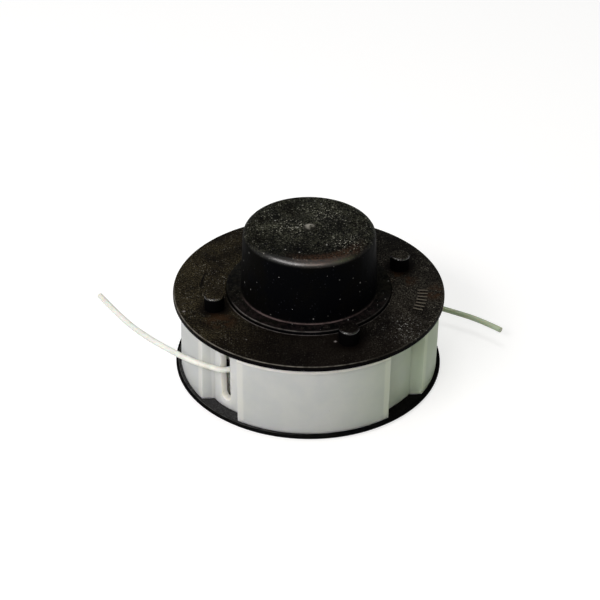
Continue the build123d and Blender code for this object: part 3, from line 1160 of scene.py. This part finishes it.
def flange_dirt(tree, place, up, colour):
    """Scuffs, soil, a scratched arc, chips and flecks on the plate."""
    scuff_spots = spots(tree, place, SCUFF_REACH, SCUFF_PLACES)
    colour = specks_on(tree, place, colour, SCUFF_COLOUR, SCUFFS, scuff_spots, up)
    soil = spots(tree, place, SOIL_REACH, SOIL_PLACES)
    soil_patches = use_group(tree, CLOUD, Vector=place, **SOIL_PATCHES)
    colour = painted(tree, colour, SOIL_COLOUR, soil, soil_patches, up, SOIL_SHARE)
    arc = use_group(tree, RING, Vector=place, **ARC_RING)
    colour = painted(tree, colour, ARC_COLOUR, arc, spots(tree, place, ARC_REACH, ARC_PLACES))
    colour = painted(tree, colour, CHIP_COLOUR, spots(tree, place, CHIP_REACH, CHIP_PLACES))
    return specks_on(tree, place, colour, FLANGE_FLECK_COLOUR, FLANGE_FLECKS, up)


def flange_edges(tree, place, up, colour):
    """Ticks rubbed paler, and painted highlights along the outer and bore edges, mostly at the front and the
    left.
    """
    x, y, z = split(tree, place)
    tick_tops = product(tree, eased(tree, z, *TICK_FROM_RAMP), eased(tree, z, *TICK_TO_RAMP))
    colour = painted(tree, colour, TICK_COLOUR, tick_tops, up)
    # Painted highlights along the outer edge and the bore's edge
    outer = highlight_line(tree, place, OUTER_LINE_RADIUS, OUTER_LINE_HEIGHT, OUTER_LINE_REACH)
    outer_masks = (outer, eased(tree, y, *OUTER_FRONT_RAMP), eased(tree, x, *OUTER_SIDE_RAMP))
    colour = painted(tree, colour, OUTER_HIGHLIGHT_COLOUR, *outer_masks)
    bore = highlight_line(tree, place, BORE_LINE_RADIUS, upper_top, BORE_LINE_REACH)
    bore_masks = (bore, eased(tree, y, *HIGHLIGHT_FRONT_RAMP), eased(tree, x, *HIGHLIGHT_SIDE_RAMP))
    return painted(tree, colour, BORE_HIGHLIGHT_COLOUR, *bore_masks)


def flange_material():
    """Black plate with brownish dust towards its sides and back, a painted shadow round the pegs' feet,
    scuffs and painted highlights along its edges.
    """
    material, tree, shader = new_material(
        "flange_finish", Specular_IOR_Level=BLACK_SHINE, Coat_Roughness=PEG_POLISH_ROUGHNESS,
        Coat_IOR=PEG_POLISH_IOR)
    place = object_place(tree)
    peg_place = from_nearest_peg(tree, place)
    up = facing(tree, Z_AXIS, *UPWARD_SLOPES)
    patches = use_group(tree, CLOUD, Vector=place, **FLANGE_PATCHES)
    plain = blended(tree, patches, FLANGE_DARK_BLACK, FLANGE_BROWN_BLACK)
    plain = blended(tree, up, FLANGE_SIDE_BLACK, plain)
    colour = flange_dust(tree, place, peg_place, up, plain)
    colour = flange_dirt(tree, place, up, colour)
    colour = flange_edges(tree, place, up, colour)
    peg_edge = use_group(tree, RING, Vector=peg_place, **PEG_EDGE_RING)
    polish = product(tree, peg_edge, facing(tree, Y_AXIS, *PEG_FRONT_SLOPES))
    roughness = eased(tree, patches, 0.0, 1.0, *FLANGE_ROUGHNESS)
    feed(tree, shader, Base_Color=colour, Coat_Weight=polish, Roughness=roughness)
    add_grain(tree, shader, place, FLANGE_GRAIN_SIZE, FLANGE_GRAIN_STRENGTH, BLACK_GRAIN_DEPTH)
    return material


# Band: milky body
BAND_SCATTER = {
    "Subsurface_Weight": 1.0,
    "Subsurface_Scale": 3.2 * MM,
    "Subsurface_Radius": (1.0, 1.0, 0.85),
}
BAND_SHINE = 0.35
BAND_GREY = (0.527, 0.555, 0.547, 1)
BAND_PALE_GREY = (0.567, 0.59, 0.57, 1)
BAND_PATCHES = {"Size": 8 * MM, "Low": 0.35, "High": 0.65}
BAND_ROUGHNESS = (0.42, 0.56)
BAND_GRAIN_SIZE = 1.6 * MM
BAND_GRAIN_STRENGTH = 0.12
BAND_GRAIN_DEPTH = 0.05 * MM

# Band: painted light, on the recesses at the left, and creamier on strips where walls meet, at the foot and
# along the top edge
RECESS_RAMP = (RECESS_RADIUS + 0.4 * MM, RECESS_RADIUS + 0.1 * MM)
# Recesses paler towards the left: painted light
RECESS_LIGHT_SIDE_RAMP = (5 * MM, -15 * MM)
RECESS_LIGHT_COLOUR = (0.64, 0.66, 0.645, 1)
# Creamier strips beside the pads' corners, at the foot and along the top edge: painted light glowing through
# the translucent wall
STRIP_RAMP = (PAD_HALF_WIDTH - 1.6 * MM, PAD_HALF_WIDTH - 1.1 * MM)
STRIP_RADIUS_RAMP = (pad_radius - 1.5 * MM, pad_radius - 1.1 * MM)
STRIP_LIGHT_SHARE = 0.65
STRIP_LIGHT_COLOUR = (0.7, 0.71, 0.66, 1)
OUTWARD_SLOPES = (0.7, 0.9)
FOOT_LIGHT_RAMP = (band_low.z + 1.1 * MM, band_low.z + 0.5 * MM, 0.0, 0.6)
TOP_EDGE_LIGHT_RAMP = (band_high.z - 1.4 * MM, band_high.z - 1.1 * MM)
TOP_EDGE_LIGHT_COLOUR = (0.88, 0.88, 0.79, 1)

# Band: painted light on the cut faces in the slots, marks, and painted shade, darker and greener, to the
# right
# Cut faces in the slots: painted light glowing through the wall, paler higher up
SLOT_ACROSS_RAMP = (1.95 * MM, 1.65 * MM)
SLOT_RADIUS_RAMP = (RECESS_RADIUS - 0.05 * MM, RECESS_RADIUS - 0.25 * MM)
SLOT_LIGHT_RISE_RAMP = (band_low.z + SLOT_FLOOR, band_low.z + SLOT_FLOOR + SLOT_WIDTH)
SLOT_FLOOR_LIGHT = (0.86, 0.855, 0.75, 1)
SLOT_WALL_LIGHT = (0.98, 0.98, 0.89, 1)
BAND_MARKS = {"Spacing": 3.0 * MM, "Size": 0.4 * MM, "Share": 0.25}
BAND_MARK_SHARE = 0.35
BAND_MARK_COLOUR = (0.42, 0.42, 0.36, 1)
# Darker and greener towards the right: painted shade
BAND_RIGHT_SHADE_RAMP = (0.0, 40 * MM)
BAND_RIGHT_SHADE = (0.74, 0.88, 0.62, 1)


def outward_face(tree, place):
    """Faces that look away from the axis, and not the side walls of the pads."""
    flat = vector_node(tree, "MULTIPLY", first=place, second=(1, 1, 0)).outputs[0]
    away = vector_node(tree, "NORMALIZE", first=flat).outputs[0]
    normal = put(tree, "NewGeometry").outputs["Normal"]
    slope = vector_node(tree, "DOT_PRODUCT", first=normal, second=away).outputs["Value"]
    return eased(tree, slope, *OUTWARD_SLOPES)


def slot_faces(tree, place):
    """The cut faces of both slots, which lie opposite each other."""
    x, y, _ = split(tree, place)
    along_x = product(tree, x, math.sin(SLOT_ANGLES[0]))
    across = worked_out(tree, "MULTIPLY_ADD", y, -math.cos(SLOT_ANGLES[0]), along_x)
    near = eased(tree, worked_out(tree, "ABSOLUTE", across), *SLOT_ACROSS_RAMP)
    return product(tree, near, eased(tree, length_of(tree, x, y), *SLOT_RADIUS_RAMP))


def pad_strips(tree, place):
    """Strips beside the upright corners of the pads, on their outer faces."""
    x, y, _ = split(tree, place)
    nearer = worked_out(tree, "MINIMUM", worked_out(tree, "ABSOLUTE", x), worked_out(tree, "ABSOLUTE", y))
    on_pad = eased(tree, length_of(tree, x, y), *STRIP_RADIUS_RAMP)
    return product(tree, eased(tree, nearer, *STRIP_RAMP), outward_face(tree, place), on_pad)


def band_material():
    """Milky moulding, greyer where its wall is thin, with painted light on the recesses at the left, where
    walls meet, at the foot, along the top edge and on the cut slot faces, and painted shade to the right.
    """
    material, tree, shader = new_material("band_finish", Specular_IOR_Level=BAND_SHINE, **BAND_SCATTER)
    place = object_place(tree)
    x, y, z = split(tree, place)
    patches = use_group(tree, CLOUD, Vector=place, **BAND_PATCHES)
    colour = blended(tree, patches, BAND_GREY, BAND_PALE_GREY)
    # Recesses paler towards the left: painted light
    recess = eased(tree, length_of(tree, x, y), *RECESS_RAMP)
    colour = painted(tree, colour, RECESS_LIGHT_COLOUR, recess, eased(tree, x, *RECESS_LIGHT_SIDE_RAMP))
    # Painted light glowing through the wall beside the pads' corners, at the foot and along the top edge
    lit_through = largest(tree, pad_strips(tree, place), eased(tree, z, *FOOT_LIGHT_RAMP))
    colour = painted(tree, colour, STRIP_LIGHT_COLOUR, lit_through, STRIP_LIGHT_SHARE)
    colour = painted(tree, colour, TOP_EDGE_LIGHT_COLOUR, eased(tree, z, *TOP_EDGE_LIGHT_RAMP))
    # Painted light on the cut faces in the slots
    slot_light = blended(tree, eased(tree, z, *SLOT_LIGHT_RISE_RAMP), SLOT_FLOOR_LIGHT, SLOT_WALL_LIGHT)
    colour = painted(tree, colour, slot_light, slot_faces(tree, place))
    colour = specks_on(tree, place, colour, BAND_MARK_COLOUR, BAND_MARKS, BAND_MARK_SHARE)
    # Painted shade, darker and greener towards the right
    colour = blended(tree, eased(tree, x, *BAND_RIGHT_SHADE_RAMP), colour, BAND_RIGHT_SHADE, "MULTIPLY")
    feed(tree, shader, Base_Color=colour, Roughness=eased(tree, patches, 0.0, 1.0, *BAND_ROUGHNESS))
    add_grain(tree, shader, place, BAND_GRAIN_SIZE, BAND_GRAIN_STRENGTH, BAND_GRAIN_DEPTH)
    return material


# Nylon line
LINE_SCATTER = {"Subsurface_Weight": 0.2, "Subsurface_Scale": 0.8 * MM}
LINE_SHINE = 0.5
LINE_CLEAR = (0.74, 0.765, 0.7, 1)
LINE_CLOUDY = (0.83, 0.845, 0.8, 1)
LINE_PATCHES = {"Size": 4 * MM, "Low": 0.35, "High": 0.65}
LINE_ROUGHNESS = (0.26, 0.4)
# Darker and greener towards the right: painted shade
LINE_RIGHT_SHADE_RAMP = (10 * MM, 35 * MM)
LINE_RIGHT_SHADE = (0.58, 0.67, 0.5, 1)
LINE_GRAIN_SIZE = 0.7 * MM
LINE_GRAIN_STRENGTH = 0.08
LINE_GRAIN_DEPTH = 0.03 * MM


def line_material():
    """Clear drawn nylon, cloudy in stretches, with painted shade, darker and greener, towards one end."""
    material, tree, shader = new_material("line_finish", Specular_IOR_Level=LINE_SHINE, **LINE_SCATTER)
    place = object_place(tree)
    side = split(tree, place)[X_AXIS]
    patches = use_group(tree, CLOUD, Vector=place, **LINE_PATCHES)
    colour = blended(tree, patches, LINE_CLEAR, LINE_CLOUDY)
    # Painted shade, darker and greener towards the right
    colour = blended(tree, eased(tree, side, *LINE_RIGHT_SHADE_RAMP), colour, LINE_RIGHT_SHADE, "MULTIPLY")
    feed(tree, shader, Base_Color=colour, Roughness=eased(tree, patches, 0.0, 1.0, *LINE_ROUGHNESS))
    add_grain(tree, shader, place, LINE_GRAIN_SIZE, LINE_GRAIN_STRENGTH, LINE_GRAIN_DEPTH)
    return material


def dress(piece, material, body, slot, *nodes):
    """Gives a piece its finish, sets it on the body it rides on, and hides the nodes it stands for."""
    piece.data.materials.clear()
    piece.data.materials.append(material)
    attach(piece, body)
    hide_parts(*nodes)


def seen_rays(tree, strength):
    """Strength for rays that show the background: from the camera, in gloss and through clear pieces."""
    path = put(tree, "LightPath").outputs
    seen = largest(tree, path["Is Camera Ray"], path["Is Glossy Ray"], path["Is Transmission Ray"])
    return product(tree, seen, strength)


def make_floor():
    """Plain pale floor, which reads as white in the picture and keeps the shadow."""
    bpy.ops.object.select_all(action="DESELECT")
    bpy.ops.mesh.primitive_plane_add(size=FLOOR_SIZE, location=(0, 0, hub_low.z - FLOOR_DROP))
    floor = named(bpy.context.object, "floor")
    material, tree, shader = new_material(
        "pale_floor", Base_Color=FLOOR_GREY, Roughness=FLOOR_ROUGHNESS, Specular_IOR_Level=0.0,
        Emission_Color=WHITE)
    feed(tree, shader, Emission_Strength=seen_rays(tree, FLOOR_GLOW))
    floor.data.materials.append(material)


def make_world():
    """Dim even light overhead, pale towards the horizon."""
    world = bpy.data.worlds.new("studio")
    bpy.context.scene.world = world
    world.use_nodes = True
    tree = world.node_tree
    background = tree.nodes["Background"]
    background.inputs["Color"].default_value = WHITE
    rise = split(tree, put(tree, "TexCoord").outputs["Generated"])[Z_AXIS]
    feed(tree, background, Strength=eased(tree, rise, *SKY_RAMP))


def make_lamp(name, azimuth, elevation, size, power, colour):
    """Soft lamp aimed at the spool from a direction about it."""
    lamp = bpy.data.lights.new(name, "AREA")
    lamp.shape = "RECTANGLE"
    lamp.size, lamp.size_y = size
    lamp.energy = power
    lamp.color = colour
    lamp_object = bpy.data.objects.new(name, lamp)
    bpy.context.scene.collection.objects.link(lamp_object)
    turn = math.radians(azimuth)
    lift = math.radians(elevation)
    flat = math.cos(lift)
    direction = Vector((flat * math.cos(turn), flat * math.sin(turn), math.sin(lift)))
    aim = Vector((0, 0, divider_middle))
    lamp_object.location = aim + direction * LAMP_DISTANCE
    lamp_object.rotation_euler = direction.to_track_quat("Z", "Y").to_euler()


def make_camera():
    """Camera at the photograph's place."""
    flat = math.cos(CAMERA_ELEVATION)
    away = Vector((-flat * math.sin(CAMERA_TURN), -flat * math.cos(CAMERA_TURN), math.sin(CAMERA_ELEVATION)))
    level = Vector((math.cos(CAMERA_TURN), -math.sin(CAMERA_TURN), 0))
    upright = away.cross(level)
    right = math.cos(CAMERA_ROLL) * level + math.sin(CAMERA_ROLL) * upright
    up = math.cos(CAMERA_ROLL) * upright - math.sin(CAMERA_ROLL) * level
    place = Vector((0, 0, upper_top)) + away * CAMERA_DISTANCE
    camera = bpy.data.cameras.new("photo_camera")
    camera.sensor_width = SENSOR_WIDTH
    camera.lens = SENSOR_WIDTH * FOCAL_PIXELS / PICTURE_PIXELS
    camera.shift_x = (PICTURE_PIXELS / 2 - AIM_PIXEL[0]) / PICTURE_PIXELS
    camera.shift_y = (AIM_PIXEL[1] - PICTURE_PIXELS / 2) / PICTURE_PIXELS
    camera.clip_start = CAMERA_NEAREST
    camera_object = bpy.data.objects.new("photo_camera", camera)
    bpy.context.scene.collection.objects.link(camera_object)
    turn = Matrix((right, up, away)).transposed().to_4x4()
    camera_object.matrix_world = Matrix.Translation(place) @ turn
    bpy.context.scene.camera = camera_object


# The pieces in their finishes
hub_black = hub_material()
flange_black = flange_material()
milky_white = band_material()
nylon = line_material()
dress(make_hub(), hub_black, "spool", "black_moulding", "spool_hub")
dress(make_upper_flange(), flange_black, "spool", "black_moulding", "upper_flange")
dress(make_band(), milky_white, "band", "white_moulding", "line_band")
dress(make_winding("upper_turns", "upper_winding"), nylon, "spool", "nylon_line", "upper_winding")
dress(make_winding("lower_turns", "lower_winding"), nylon, "spool", "nylon_line", "lower_winding")
upper_tail = make_tail("upper_tail", UPPER_TAIL_ROUTE)
lower_tail = make_tail("lower_tail", LOWER_TAIL_ROUTE)
dress(upper_tail, nylon, "band", "nylon_line", "upper_line_tail")
dress(lower_tail, nylon, "band", "nylon_line", "lower_line_tail")

# The stage
make_floor()
make_world()
for lamp_values in LAMPS:
    make_lamp(*lamp_values)
make_camera()
bpy.context.scene.view_settings.view_transform = "Standard"
